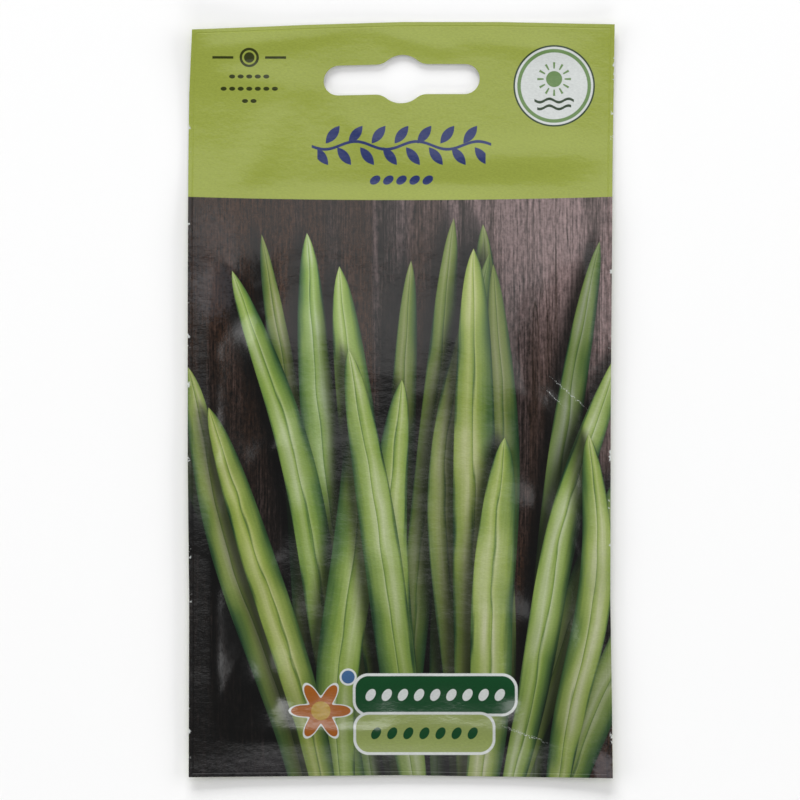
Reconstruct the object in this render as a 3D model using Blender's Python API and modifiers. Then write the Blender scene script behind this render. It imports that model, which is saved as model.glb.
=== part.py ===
# Seed packet: a flat heat-sealed film pouch with a hang slot in its header,
# holding one layer of loose bean seeds.
# Metres, +Z up. The packet lies on its back, the printed front up and the header towards +Y.
# The origin is under the middle of its outline, on the surface it lies on.

import itertools
import math
import random

import bmesh
import bpy

# The packet's outline, with the header at +Y
PACKET_WIDTH = 0.087
PACKET_LENGTH = 0.155
WAIST = 0.0004  # how far each long edge draws in beside the filled part
WAIST_Y = -0.012

# The films and where they are sealed together
FILM = 0.00015
SEAL_GAP = 0.0003  # clearance left between the two sheets where the real ones are fused
SIDE_SEAL = 0.005
BOTTOM_SEAL = 0.0088
HEADER = 0.034
CELL = 0.004  # the sheets' mesh size

# The filled part of the pouch
FILL_HEIGHT = 0.0068  # clear height inside, over the seeds
SIDE_SLOPE = 0.016  # width of the slope between a side seal and the full height
BOTTOM_SLOPE = 0.012
TOP_SLOPE = 0.032
SLOPE_ROUNDNESS = 2.2

# How far the sealed edges stand off the surface that the packet lies on
SIDE_LIFT = 0.0015
SIDE_LIFT_WIDTH = 0.018
BOTTOM_LIFT = 0.0008
HEADER_LIFT = 0.0005
HEADER_LIFT_LENGTH = 0.020
CORNER_CURLS = {(-1, 1): 0.0016, (1, 1): 0.0009, (-1, -1): 0.0006, (1, -1): 0.0012}
CORNER_REACH = 0.026

# The hang slot: a long slot with round ends, widened by a round hump at its middle
SLOT_LENGTH = 0.032
SLOT_HEIGHT = 0.00615
SLOT_DROP = 0.0117  # from the top edge to the slot's middle
HUMP_RADIUS = 0.00495
HUMP_FILLET = 0.0035
MERGE_DISTANCE = 0.00001

# The seeds
SEED_COUNT = 34
SEED_COLUMNS = 5
SEED_LENGTH = 0.0132
SEED_WIDTH = 0.0071
SEED_THICKNESS = 0.0057
SEED_BEND = 0.0008  # how far the two ends curve towards the scar
SEED_SHOULDER = 0.4  # how much fuller it is between its middle and its ends
SEED_SCALES = (0.95, 1.0, 1.04)
SEED_SIDES = 12
SEED_RINGS = 8
SEED_CLEARANCE = 0.0004
FILL_BOX = (-0.0310, 0.0310, -0.0630, 0.0200)  # x and y limits of the seeds' layer
START_PLACES = (0.25, 0.75)  # the first seed's place in its column, for even and odd rows
SETTLE_STEPS = 300
EASE_SHARE = 0.25  # of two seeds' overlap, what each gives way in one step
RETURN_SHARE = 0.5  # of a seed's reach past the limits, what it moves back in one step
SEED_OF_CHANCE = 12


def smooth_step(value):
    value = min(max(value, 0.0), 1.0)
    return value * value * (3.0 - 2.0 * value)


def round_rise(distance, width):
    """0 at a seal, rising at once and levelling out to 1 at the slope's far side."""
    share = min(max(distance / width, 0.0), 1.0)
    return 1.0 - (1.0 - share) ** SLOPE_ROUNDNESS


def outline_x(x, y):
    """x on the sheet, with the long edges drawn in beside the filled part."""
    reach = (y - WAIST_Y) / (PACKET_LENGTH / 2)
    return x * (1.0 - 2 * WAIST / PACKET_WIDTH * max(0.0, 1.0 - reach * reach))


def fill(x, y):
    """0 at the seals and 1 where the pouch stands at its full height."""
    from_side = PACKET_WIDTH / 2 - SIDE_SEAL - abs(x)
    from_bottom = y + PACKET_LENGTH / 2 - BOTTOM_SEAL
    from_header = PACKET_LENGTH / 2 - HEADER - y
    return (
        round_rise(from_side, SIDE_SLOPE)
        * round_rise(from_bottom, BOTTOM_SLOPE)
        * smooth_step(from_header / TOP_SLOPE)
    )


def back_height(x, y):
    """Height of the packet's underside, which lies flat under the seeds."""
    half_width = PACKET_WIDTH / 2
    half_length = PACKET_LENGTH / 2
    foot_length = BOTTOM_SEAL + BOTTOM_SLOPE
    side = smooth_step((abs(x) - half_width) / SIDE_LIFT_WIDTH + 1.0)
    foot = smooth_step((foot_length - half_length - y) / foot_length)
    head = smooth_step((y - half_length + HEADER) / HEADER_LIFT_LENGTH + 0.5)
    corner = (math.copysign(1, x), math.copysign(1, y))
    from_corner = math.hypot(half_width - abs(x), half_length - abs(y))
    curl = CORNER_CURLS[corner] * max(0.0, 1.0 - from_corner / CORNER_REACH) ** 2
    return (
        SIDE_LIFT * side * (1.0 - foot) * (1.0 - head)
        + BOTTOM_LIFT * foot
        + HEADER_LIFT * head
        + curl
    )


def front_height(x, y):
    """Height of the packet's printed upper side."""
    return back_height(x, y) + 2 * FILM + SEAL_GAP + FILL_HEIGHT * fill(x, y)


def make_material(name, colour, roughness):
    material = bpy.data.materials.new(name)
    material.use_nodes = True
    shader = material.node_tree.nodes["Principled BSDF"]
    shader.inputs["Base Color"].default_value = (*colour, 1.0)
    shader.inputs["Roughness"].default_value = roughness
    shader.inputs["Metallic"].default_value = 0.0
    return material


def arc(center_x, center_y, radius, start, end, steps):
    """Points along an arc, its angles in degrees."""
    points = []
    for step in range(steps + 1):
        angle = math.radians(start + (end - start) * step / steps)
        points.append((center_x + radius * math.cos(angle), center_y + radius * math.sin(angle)))
    return points


def slot_outline():
    """The slot's outline round its own middle: its right half, then the same turned half round."""
    half_height = SLOT_HEIGHT / 2
    end_x = SLOT_LENGTH / 2 - half_height
    fillet_y = half_height + HUMP_FILLET
    fillet_x = math.sqrt((HUMP_RADIUS + HUMP_FILLET) ** 2 - fillet_y**2)
    lean = math.degrees(math.atan2(fillet_y, fillet_x))
    half = arc(end_x, 0.0, half_height, -90, 90, 8)
    half += arc(fillet_x, fillet_y, HUMP_FILLET, 270, 180 + lean, 3)
    half += arc(0.0, 0.0, HUMP_RADIUS, lean, 180 - lean, 6)[1:-1]
    half += arc(-fillet_x, fillet_y, HUMP_FILLET, 360 - lean, 270, 3)
    return half + [(-x, -y) for x, y in half]


def make_slot_cutter(collection):
    """A prism of the slot's outline, standing through both films."""
    curve = bpy.data.curves.new("slot_cutter", "CURVE")
    curve.dimensions = "2D"
    curve.fill_mode = "BOTH"
    curve.extrude = FILL_HEIGHT
    points = slot_outline()
    spline = curve.splines.new("POLY")
    spline.points.add(len(points) - 1)
    for point, (x, y) in zip(spline.points, points):
        point.co = (x, y, 0.0, 1.0)
    spline.use_cyclic_u = True
    guide = bpy.data.objects.new("slot_guide", curve)
    collection.objects.link(guide)
    bpy.context.view_layer.update()

    depsgraph = bpy.context.evaluated_depsgraph_get()
    mesh = bpy.data.meshes.new_from_object(guide.evaluated_get(depsgraph))
    bpy.data.objects.remove(guide)
    shape = bmesh.new()
    shape.from_mesh(mesh)
    bmesh.ops.remove_doubles(shape, verts=shape.verts, dist=MERGE_DISTANCE)
    bmesh.ops.recalc_face_normals(shape, faces=shape.faces)
    shape.to_mesh(mesh)
    shape.free()

    cutter = bpy.data.objects.new("slot_cutter", mesh)
    cutter.location = (0.0, PACKET_LENGTH / 2 - SLOT_DROP, 0.0)
    cutter.hide_render = True
    cutter.display_type = "WIRE"
    collection.objects.link(cutter)
    return cutter


def snapped(value, lines):
    """Moves a row or column of the sheet's mesh onto the seal line that it lies nearest."""
    for line in lines:
        if abs(value - line) < CELL / 2:
            return line
    return value


def make_film(name, height, offset, cutter, material, collection):
    """One sheet: a grid bent to its height, thickened, with the slot punched through it."""
    mesh = bpy.data.meshes.new(name)
    sheet = bmesh.new()
    bmesh.ops.create_grid(
        sheet,
        x_segments=round(PACKET_WIDTH / CELL),
        y_segments=round(PACKET_LENGTH / CELL),
        size=0.5,
    )
    side_line = PACKET_WIDTH / 2 - SIDE_SEAL
    end_lines = (BOTTOM_SEAL - PACKET_LENGTH / 2, PACKET_LENGTH / 2 - HEADER)
    for vert in sheet.verts:
        x = snapped(vert.co.x * PACKET_WIDTH, (-side_line, side_line))
        y = snapped(vert.co.y * PACKET_LENGTH, end_lines)
        vert.co = (outline_x(x, y), y, height(x, y))
    bmesh.ops.triangulate(sheet, faces=sheet.faces)
    sheet.to_mesh(mesh)
    sheet.free()
    mesh.shade_smooth()
    mesh.materials.append(material)

    film = bpy.data.objects.new(name, mesh)
    collection.objects.link(film)
    thicken = film.modifiers.new("thickness", "SOLIDIFY")
    thicken.thickness = FILM
    thicken.offset = offset
    punch = film.modifiers.new("slot", "BOOLEAN")
    punch.operation = "DIFFERENCE"
    punch.solver = "EXACT"
    punch.object = cutter
    return film


def make_seed_mesh(name, scale, material):
    """A kidney-shaped seed lying on its side, its middle at the mesh's origin."""
    mesh = bpy.data.meshes.new(name)
    seed = bmesh.new()
    bmesh.ops.create_uvsphere(seed, u_segments=SEED_SIDES, v_segments=SEED_RINGS, radius=1.0)
    for vert in seed.verts:
        across, thick, along = vert.co
        fuller = 1.0 + SEED_SHOULDER * along * along * (1.0 - along * along)
        bend = SEED_BEND * (0.5 - along * along)
        vert.co = (
            scale * SEED_LENGTH / 2 * along,
            scale * (SEED_WIDTH / 2 * across * fuller + bend),
            scale * SEED_THICKNESS / 2 * thick,
        )
    bmesh.ops.recalc_face_normals(seed, faces=seed.faces)
    seed.to_mesh(mesh)
    seed.free()
    mesh.shade_smooth()
    mesh.materials.append(material)
    return mesh


def axis_point(seed, along):
    """A point on a seed's long axis, seen from above."""
    return seed["x"] + along * math.cos(seed["turn"]), seed["y"] + along * math.sin(seed["turn"])


def push(seed, along, move_x, move_y, half):
    """Moves a seed by a push at a point on its axis, which also turns it."""
    seed["x"] += move_x
    seed["y"] += move_y
    across = math.cos(seed["turn"]) * move_y - math.sin(seed["turn"]) * move_x
    seed["turn"] += along * across / half**2


def part_two(first, second, half, apart):
    """Pushes two seeds apart where the discs along their axes lie too close."""
    for along_a, along_b in itertools.product((-half, 0.0, half), repeat=2):
        ax, ay = axis_point(first, along_a)
        bx, by = axis_point(second, along_b)
        gap = math.hypot(bx - ax, by - ay)
        if 0.0 < gap < apart:
            share = EASE_SHARE * (apart - gap) / gap
            push(first, along_a, (ax - bx) * share, (ay - by) * share, half)
            push(second, along_b, (bx - ax) * share, (by - ay) * share, half)


def keep_inside(seed, half, radius):
    """Pushes a seed back into the layer's limits."""
    low_x, high_x, low_y, high_y = FILL_BOX
    for along in (-half, half):
        x, y = axis_point(seed, along)
        inside_x = min(max(x, low_x + radius), high_x - radius)
        inside_y = min(max(y, low_y + radius), high_y - radius)
        push(seed, along, (inside_x - x) * RETURN_SHARE, (inside_y - y) * RETURN_SHARE, half)


def settled_seeds():
    """Places the seeds in one layer: strewn by chance, then eased apart until none touch."""
    chance = random.Random(SEED_OF_CHANCE)
    low_x, high_x, low_y, high_y = FILL_BOX
    rows = math.ceil(SEED_COUNT / SEED_COLUMNS)
    seeds = []
    for index in range(SEED_COUNT):
        row = index // SEED_COLUMNS
        column = index % SEED_COLUMNS + START_PLACES[row % 2]
        seeds.append(
            {
                "x": low_x + (high_x - low_x) * column / SEED_COLUMNS,
                "y": low_y + (high_y - low_y) * (row + 0.5) / rows,
                "turn": chance.uniform(0.0, 2 * math.pi),
                "scale": chance.choice(SEED_SCALES),
            }
        )
    radius = max(SEED_SCALES) * (SEED_WIDTH / 2 + SEED_BEND / 2)
    half = max(SEED_SCALES) * SEED_LENGTH / 2 - radius
    for _ in range(SETTLE_STEPS):
        for first, second in itertools.combinations(seeds, 2):
            if math.hypot(second["x"] - first["x"], second["y"] - first["y"]) < 2 * (radius + half):
                part_two(first, second, half, 2 * radius + SEED_CLEARANCE)
        for seed in seeds:
            keep_inside(seed, half, radius)
    return seeds


def make_seeds(material, collection):
    meshes = {}
    for scale in SEED_SCALES:
        meshes[scale] = make_seed_mesh("seed_mesh_%03d" % round(scale * 100), scale, material)
    for index, place in enumerate(settled_seeds()):
        seed = bpy.data.objects.new("seed_%02d" % (index + 1), meshes[place["scale"]])
        rest = FILM + SEAL_GAP + place["scale"] * SEED_THICKNESS / 2
        seed.location = (place["x"], place["y"], rest)
        seed.rotation_euler = (0.0, 0.0, place["turn"])
        collection.objects.link(seed)


def main():
    for old in list(bpy.data.objects):
        bpy.data.objects.remove(old)
    packet = bpy.data.collections.new("seed_packet")
    cutters = bpy.data.collections.new("cutters")
    bpy.context.scene.collection.children.link(packet)
    bpy.context.scene.collection.children.link(cutters)

    printed = make_material("printed_film", (0.32, 0.39, 0.11), 0.38)
    plain = make_material("back_film", (0.72, 0.73, 0.68), 0.42)
    coat = make_material("seed_coat", (0.33, 0.19, 0.10), 0.45)

    slot = make_slot_cutter(cutters)
    make_film("front_film", front_height, -1.0, slot, printed, packet)
    make_film("back_film", back_height, 1.0, slot, plain, packet)
    make_seeds(coat, packet)


main()
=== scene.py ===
import math
import random

import bmesh
import bpy
import numpy as np
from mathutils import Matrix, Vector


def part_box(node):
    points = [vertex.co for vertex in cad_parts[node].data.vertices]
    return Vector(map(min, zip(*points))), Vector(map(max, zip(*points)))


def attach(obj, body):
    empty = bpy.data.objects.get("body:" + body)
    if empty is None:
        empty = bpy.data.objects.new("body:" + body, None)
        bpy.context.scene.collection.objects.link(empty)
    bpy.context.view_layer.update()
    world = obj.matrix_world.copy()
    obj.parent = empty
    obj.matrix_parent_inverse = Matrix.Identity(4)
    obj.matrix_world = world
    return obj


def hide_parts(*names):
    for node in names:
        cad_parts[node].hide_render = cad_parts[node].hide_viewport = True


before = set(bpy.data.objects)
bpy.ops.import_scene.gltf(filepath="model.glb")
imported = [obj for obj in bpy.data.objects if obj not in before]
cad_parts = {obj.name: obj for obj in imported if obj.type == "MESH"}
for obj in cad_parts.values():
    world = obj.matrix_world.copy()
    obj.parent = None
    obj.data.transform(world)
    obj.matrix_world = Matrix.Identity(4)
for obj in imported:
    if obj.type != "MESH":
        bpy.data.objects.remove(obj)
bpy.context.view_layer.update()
print("frame loaded:", len(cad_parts), "nodes")

# A seed packet lying on its back. Lengths are in metres unless a note says millimetres.
millimetres = 1000.0  # in one metre
sheet = {
    "width": 0.087,
    "length": 0.155,
    "columns": 146,  # the sheets' mesh, cells of about 0.6 mm
    "rows": 258,
    # how far the hand-cut edges stray, in millimetres, at places along each edge
    "leftStray": (
        (-77.5, 0.2), (-41.0, 0.3), (-12.0, 0.0), (20.0, 0.0), (50.0, 0.1), (64.0, 0.3), (77.5, 0.9)
    ),
    "rightStray": ((-77.5, 0.1), (-60.0, -0.1), (-41.0, -0.4), (0.0, -0.3), (50.0, 0.1), (77.5, 0.5)),
    "topStray": ((-43.5, -1.6), (-20.0, -0.6), (0.0, 0.0), (20.0, 0.0), (43.5, -0.5)),
    "bottomStray": ((-43.5, 0.2), (-20.0, 0.4), (0.0, 0.6), (20.0, 0.3), (43.5, 0.0)),
    "sideSeal": 0.005,
    "bottomSeal": 0.0088,
    "header": 0.034,
    "sealed": 0.00032,  # thickness of the two films fused together
    "film": 0.00015,
    "apart": 0.000002,  # what stays between the fused films, so that they don't share a face
    "slab": 0.001,  # thickness of the flat sheet before it is bent
}
pouch = {
    "height": 0.0064,
    "sideSlope": 0.016,
    "bottomSlope": 0.012,
    "topSlope": 0.032,
    "roundness": 2.2,
    "sideLift": 0.0015,
    "sideLiftWidth": 0.018,
    "bottomLift": 0.0008,
    "headerLift": 0.0005,
    "headerLiftLength": 0.020,
    "curls": ((-1, 1, 0.0016), (1, 1, 0.0009), (-1, -1, 0.0006), (1, -1, 0.0012)),
    "curlReach": 0.026,
}
slot = {
    "length": 0.032,
    "height": 0.00615,
    "drop": 0.0117,  # from the top edge to its middle
    "hump": 0.00495,
    "fillet": 0.0035,
    "endSteps": 24,
    "filletSteps": 8,
    "humpSteps": 16,
    "punch": 0.01,  # how far the punch reaches above and below the sheet
}


def ink(red, green, blue):
    # a printed colour from its look on screen, less the sheen that lies over it and the studio's light
    channels = []
    for value in (red / 255, green / 255, blue / 255):
        linear = value / 12.92 if value <= 0.04045 else ((value + 0.055) / 1.055) ** 2.4
        channels.append(max(linear - 0.008, 0.002) / 1.07)
    return (*channels, 1.0)


class Flow:  # a value on its way through a material: sums on it add Math nodes
    def __init__(self, paint, socket):
        self.paint = paint
        self.socket = socket

    def __add__(self, other):
        return self.paint.maths("ADD", self, other)

    def __sub__(self, other):
        return self.paint.maths("SUBTRACT", self, other)

    def __rsub__(self, other):
        return self.paint.maths("SUBTRACT", other, self)

    def __mul__(self, other):
        return self.paint.maths("MULTIPLY", self, other)

    def __truediv__(self, other):
        return self.paint.maths("DIVIDE", self, other)

    def __pow__(self, other):
        return self.paint.maths("POWER", self, other)

    def __neg__(self):
        return self * -1.0

    def __abs__(self):
        return self.paint.maths("ABSOLUTE", self)

    __radd__ = __add__
    __rmul__ = __mul__

    def most(self, other):
        return self.paint.maths("MAXIMUM", self, other)

    def ramp(self, low, high, start, end):  # from start below low to end above high, smooth between
        sockets = {"Value": self, "From Min": low, "From Max": high, "To Min": start, "To Max": end}
        return self.paint.node("MapRange", {"interpolation_type": "SMOOTHSTEP", "clamp": False}, sockets)

    def rise(self, low, high):
        return self.ramp(low, high, 0.0, 1.0)

    def fall(self, low, high):
        return self.ramp(low, high, 1.0, 0.0)


def farOf(x, y):  # how far a point lies from the middle
    return (x * x + y * y) ** 0.5


class Paint:  # a material's or a node group's tree, with the one method that adds its nodes
    def __init__(self, tree):
        self.tree = tree

    def node(self, kind, settings=None, sockets=None, outlet=0):
        made = self.tree.nodes.new(kind if kind.startswith("Node") else "ShaderNode" + kind)
        for name, value in (settings or {}).items():
            if name == "stops":
                self.setStops(made.color_ramp, value)
            elif name == "points":
                self.setPoints(made.mapping, value)
            else:
                setattr(made, name, value)
        for key, value in (sockets or {}).items():
            if isinstance(value, Flow):
                self.tree.links.new(value.socket, made.inputs[key])
            else:
                made.inputs[key].default_value = value
        return Flow(self, made.outputs[outlet]) if made.outputs else None

    def setStops(self, ramp, stops):
        while len(ramp.elements) < len(stops):
            ramp.elements.new(1.0)
        for element, (place, inkName) in zip(ramp.elements, stops):
            element.position = place
            element.color = printed[inkName]

    def setPoints(self, mapping, points):
        curve = mapping.curves[0]
        while len(curve.points) < len(points):
            curve.points.new(0.5, 0.5)
        for made, point in zip(curve.points, points):
            made.location = point
            made.handle_type = "AUTO_CLAMPED"
        mapping.update()

    def maths(self, operation, *values):
        return self.node("Math", {"operation": operation}, dict(enumerate(values)))

    def mix(self, share, under, over, blend="MIX"):
        sockets = {0: share, 6: under, 7: over}
        return self.node("Mix", {"data_type": "RGBA", "blend_type": blend}, sockets, 2)

    def shade(self, colour, light):  # multiplies a colour by a number
        grey = self.node("CombineColor", {}, {"Red": light, "Green": light, "Blue": light})
        return self.mix(1.0, colour, grey, "MULTIPLY")

    def layers(self, colour, covers):  # prints inks over a colour, each where its cover is 1
        for inkName, cover in covers:
            colour = self.mix(cover, colour, printed[inkName])
        return colour

    def place(self):  # where the point lies across and along the piece, in millimetres
        point = self.node("TexCoord", outlet="Object")
        parts = self.tree.nodes.new("ShaderNodeSeparateXYZ")
        self.tree.links.new(point.socket, parts.inputs[0])
        return [Flow(self, parts.outputs[axis]) * millimetres for axis in ("X", "Y")]

    def spot(self, x, y):
        return self.node("CombineXYZ", {}, {0: x, 1: y})

    def bump(self, height):  # a relief of its own for the surface, in millimetres
        return self.node("Bump", {}, {"Height": height, "Distance": 1.0 / millimetres})

    def cloud(self, x, y, scaleX, scaleY, detail=2.0, shift=0.0):
        # noise from 0 to 1, its scales per millimetre
        sockets = {"Vector": self.spot(x * scaleX + shift, y * scaleY), "Scale": 1.0, "Detail": detail}
        return self.node("TexNoise", {"noise_dimensions": "2D"}, sockets)

    def disc(self, x, y, radius, soft=0.08):
        return farOf(x, y).fall(radius - soft, radius + soft)

    def leaf(self, x, y, halfLength, halfWidth, soft=0.08):  # a lens with pointed ends along x
        reach = 1.0 - (x / halfLength) * (x / halfLength)
        return (reach * halfWidth - abs(y)).rise(-soft, soft)

    def stroke(self, x, y, start, end, halfWidth):  # a thin streak that tapers to both ends, for the painted glints
        runX = end[0] - start[0]
        runY = end[1] - start[1]
        awayX = x - (start[0] + end[0]) / 2
        awayY = y - (start[1] + end[1]) / 2
        along, across = self.turned(awayX, awayY, math.degrees(math.atan2(runY, runX)))
        return self.leaf(along, across, math.hypot(runX, runY) / 2, halfWidth, halfWidth)

    def pill(self, x, y, halfLength, halfHeight, radius, soft=0.08):
        outX = (abs(x) - (halfLength - radius)).most(0.0)
        outY = (abs(y) - (halfHeight - radius)).most(0.0)
        return self.disc(outX, outY, radius, soft)

    def turned(self, x, y, degrees):
        cosine = math.cos(math.radians(degrees))
        sine = math.sin(math.radians(degrees))
        return x * cosine + y * sine, y * cosine - x * sine


def newPaint(name):  # a material whose tree holds only its output
    material = bpy.data.materials.new(name)
    material.use_nodes = True
    material.node_tree.nodes.clear()
    return material, Paint(material.node_tree)


def finishPaint(paint, sockets):
    shader = paint.node("BsdfPrincipled", {}, sockets)
    paint.node("OutputMaterial", {}, {"Surface": shader})


print("tools ready")

# The relief of the sheets, as heights over a flat grid

gridX, gridY = np.meshgrid(
    np.linspace(-sheet["width"] / 2, sheet["width"] / 2, sheet["columns"] + 1),
    np.linspace(-sheet["length"] / 2, sheet["length"] / 2, sheet["rows"] + 1),
)


def smoothStep(value):
    value = np.clip(value, 0.0, 1.0)
    return value * value * (3.0 - 2.0 * value)


def softened(field, rounds):
    for _ in range(rounds):
        padded = np.pad(field, 1, mode="edge")
        field = (padded[:-2, 1:-1] + padded[2:, 1:-1] + padded[1:-1, :-2] + padded[1:-1, 2:]) / 4
    return field


def roundRise(distance, width):  # rises at once from a seal, then levels out
    share = np.clip(distance / width, 0.0, 1.0)
    return 1.0 - (1.0 - share) ** pouch["roundness"]


def fromSeals():  # how far the grid's points lie inside the side seals, the bottom seal and the header
    fromSide = sheet["width"] / 2 - sheet["sideSeal"] - abs(gridX)
    fromBottom = gridY + sheet["length"] / 2 - sheet["bottomSeal"]
    fromHeader = sheet["length"] / 2 - sheet["header"] - gridY
    return fromSide, fromBottom, fromHeader


def fillShare():  # 0 at the seals, 1 where the pouch is full
    fromSide, fromBottom, fromHeader = fromSeals()
    rise = roundRise(fromSide, pouch["sideSlope"]) * roundRise(fromBottom, pouch["bottomSlope"])
    return rise * smoothStep(fromHeader / pouch["topSlope"])


def undersideHeights():
    halfWidth = sheet["width"] / 2
    halfLength = sheet["length"] / 2
    footLength = sheet["bottomSeal"] + pouch["bottomSlope"]
    side = smoothStep((abs(gridX) - halfWidth) / pouch["sideLiftWidth"] + 1.0)
    foot = smoothStep((footLength - halfLength - gridY) / footLength)
    head = smoothStep((gridY - halfLength + sheet["header"]) / pouch["headerLiftLength"] + 0.5)
    heights = pouch["sideLift"] * side * (1 - foot) * (1 - head)
    heights += pouch["bottomLift"] * foot + pouch["headerLift"] * head
    for signX, signY, curl in pouch["curls"]:
        away = np.hypot(halfWidth - signX * gridX, halfLength - signY * gridY)
        heights += curl * np.clip(1.0 - away / pouch["curlReach"], 0.0, 1.0) ** 2
    return heights


def lumps(spacingX, spacingY, seed, slant=0.0):  # smooth chance heights from -1 to 1
    chance = np.random.RandomState(seed)
    placeX = (gridX + slant * gridY + (1 + slant) * sheet["length"]) / spacingX
    placeY = (gridY - slant * gridX + (1 + slant) * sheet["length"]) / spacingY
    coarse = chance.uniform(-1, 1, (int(placeY.max()) + 2, int(placeX.max()) + 2))
    cellX = placeX.astype(int)
    cellY = placeY.astype(int)
    blendX = smoothStep(placeX - cellX)
    blendY = smoothStep(placeY - cellY)
    low = coarse[cellY, cellX] * (1 - blendX) + coarse[cellY, cellX + 1] * blendX
    high = coarse[cellY + 1, cellX] * (1 - blendX) + coarse[cellY + 1, cellX + 1] * blendX
    return low * (1 - blendY) + high * blendY


def gridFrom(middleX, middleY, turn):
    # how far the grid's points lie along and across a line through a point, in millimetres
    awayX = gridX * millimetres - middleX
    awayY = gridY * millimetres - middleY
    cosine = math.cos(turn)
    sine = math.sin(turn)
    return awayX * cosine + awayY * sine, awayY * cosine - awayX * sine


def ridge(middleX, middleY, turn, halfLength, halfWidth, height):
    # a long low swelling, its place and size in millimetres and its turn in degrees
    along, across = gridFrom(middleX, middleY, math.radians(turn))
    return height * np.exp(-((along / halfLength) ** 4)) * np.exp(-((across / halfWidth) ** 2))


def crease(start, end, height, width):  # a sharp fold between two points, in millimetres
    runX = end[0] - start[0]
    runY = end[1] - start[1]
    along, across = gridFrom((start[0] + end[0]) / 2, (start[1] + end[1]) / 2, math.atan2(runY, runX))
    toEnds = (1 - abs(along) / math.hypot(runX, runY) * 2) * 3
    return height * smoothStep(toEnds) * np.exp(-abs(across) / width)


def seedPlaces():  # middle, turn and half sizes of each seed in the frame
    places = []
    for name in sorted(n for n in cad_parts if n.startswith("seed_")):
        points = np.array([v.co[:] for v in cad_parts[name].data.vertices])
        low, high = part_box(name)
        middle = (low + high) / 2
        spread = np.cov(points[:, :2].T)
        turn = 0.5 * math.atan2(2 * spread[0, 1], spread[0, 0] - spread[1, 1])
        flat = points[:, :2] - np.array(middle[:2])
        along = flat @ (math.cos(turn), math.sin(turn))
        across = flat @ (-math.sin(turn), math.cos(turn))
        nearMiddle = abs(along) < 0.2 * along.max()
        nearEnds = abs(along) > 0.7 * along.max()
        bowed = np.mean(across[nearMiddle]) - np.mean(across[nearEnds])
        places.append(
            {
                "name": name,
                "middle": middle,
                "turn": turn if bowed > 0 else turn + math.pi,
                "halfLength": np.ptp(along) / 2,
                "halfWidth": np.ptp(across) / 2,
                "halfThickness": (high.z - low.z) / 2,
            }
        )
    return places


def seedTops(places):  # the height of the seeds' upper sides, and zero between them
    tops = np.zeros_like(gridX)
    for seed in places:
        awayX = gridX - seed["middle"].x
        awayY = gridY - seed["middle"].y
        along = (awayX * math.cos(seed["turn"]) + awayY * math.sin(seed["turn"])) / seed["halfLength"]
        across = (awayY * math.cos(seed["turn"]) - awayX * math.sin(seed["turn"])) / seed["halfWidth"]
        dome = np.sqrt(np.clip(1.0 - along**2 - across**2, 0.0, 1.0))
        tops = np.maximum(tops, (seed["middle"].z + seed["halfThickness"] * dome) * (dome > 0))
    return tops


def tautHeights(start, floorHeights, sealed):
    # draws the film tight, rounds of smoothing that keep it over the seeds and down at the seals
    heights = start
    for _ in range(relief["tautRounds"]):
        heights = np.maximum(softened(heights, 1) + relief["puff"], floorHeights)
        heights[sealed] = 0.0
    return softened(heights, relief["tautSoftening"])


relief = {
    "tautRounds": 260,
    "tautSoftening": 7,
    "puff": 0.00000035,  # what the air inside adds in each round
    "seedGap": 0.00070,  # from a seed to the film's upper side
    "sway": 0.00016,  # broad waves of both sheets together
    "edgeWave": 0.00020,
    "pucker": 0.00020,  # folds that run in from the seals
    "puckerReach": 0.009,
    "crumple": 0.00012,
    "free": 0.0006,  # off the floor by this much, both sheets are free to sway
    "fineFolds": 0.4,  # how much the finer folds and crumples count beside the broad ones
    "sharpCrumples": 0.4,
    "fineCrumples": 0.2,
    # chance heights: their spacing across and along the sheet, seed and slant
    "swayLumps": (0.034, 0.023, 3),
    "edgeLumps": (0.020, 0.014, 8),
    "sideLumps": (0.030, 0.0046, 21),
    "fineSideLumps": (0.020, 0.0023, 22),
    "endLumps": (0.0050, 0.030, 23),
    "crumpleLumps": (0.014, 0.016, 31, 0.6),
    "sharpLumps": (0.008, 0.009, 32, -0.5),
    "fineLumps": (0.003, 0.003, 33, 0.3),
    # swellings of the header: middle, turn, half length, half width and height
    "headerRidges": (
        (24.0, 49.6, 3, 19.0, 3.6, 0.00046),
        (6.0, 43.0, -4, 18.0, 2.6, -0.00020),
        (-24.0, 75.0, 6, 17.0, 2.4, 0.00032),
        (-26.0, 66.0, -8, 12.0, 3.0, 0.00026),
        (-28.0, 52.0, 62, 12.0, 3.6, 0.00032),
        (-8.0, 56.0, -38, 8.0, 3.0, 0.00022),
        (3.0, 73.5, -14, 9.0, 2.2, 0.00030),
        (21.0, 73.0, -5, 13.0, 2.2, 0.00024),
        (36.0, 58.0, 74, 10.0, 3.2, 0.00026),
    ),
    # folds: both ends, height and width
    "creases": (
        ((21.6, -67.0), (29.8, -70.2), 0.00024, 0.45),
        ((22.6, -69.0), (28.0, -70.9), 0.00014, 0.40),
        ((31.0, 4.4), (37.6, -1.3), 0.00016, 0.35),
        ((29.2, 2.6), (35.0, -2.8), 0.00009, 0.35),
        ((-37.0, 30.0), (-29.0, 22.0), 0.00010, 0.9),
        ((34.5, -27.0), (41.0, -40.0), 0.00016, 0.9),
        ((-33.0, -52.0), (-38.5, -66.0), 0.00014, 0.9),
    ),
}
seeds = seedPlaces()
fill = fillShare()
fromSide, fromBottom, fromHeader = fromSeals()
nearSide = np.exp(-((fromSide / relief["puckerReach"]) ** 2))
nearBottom = np.exp(-((fromBottom / relief["puckerReach"]) ** 2))
offFloor = np.clip(undersideHeights() / relief["free"], 0.0, 1.0)

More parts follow.
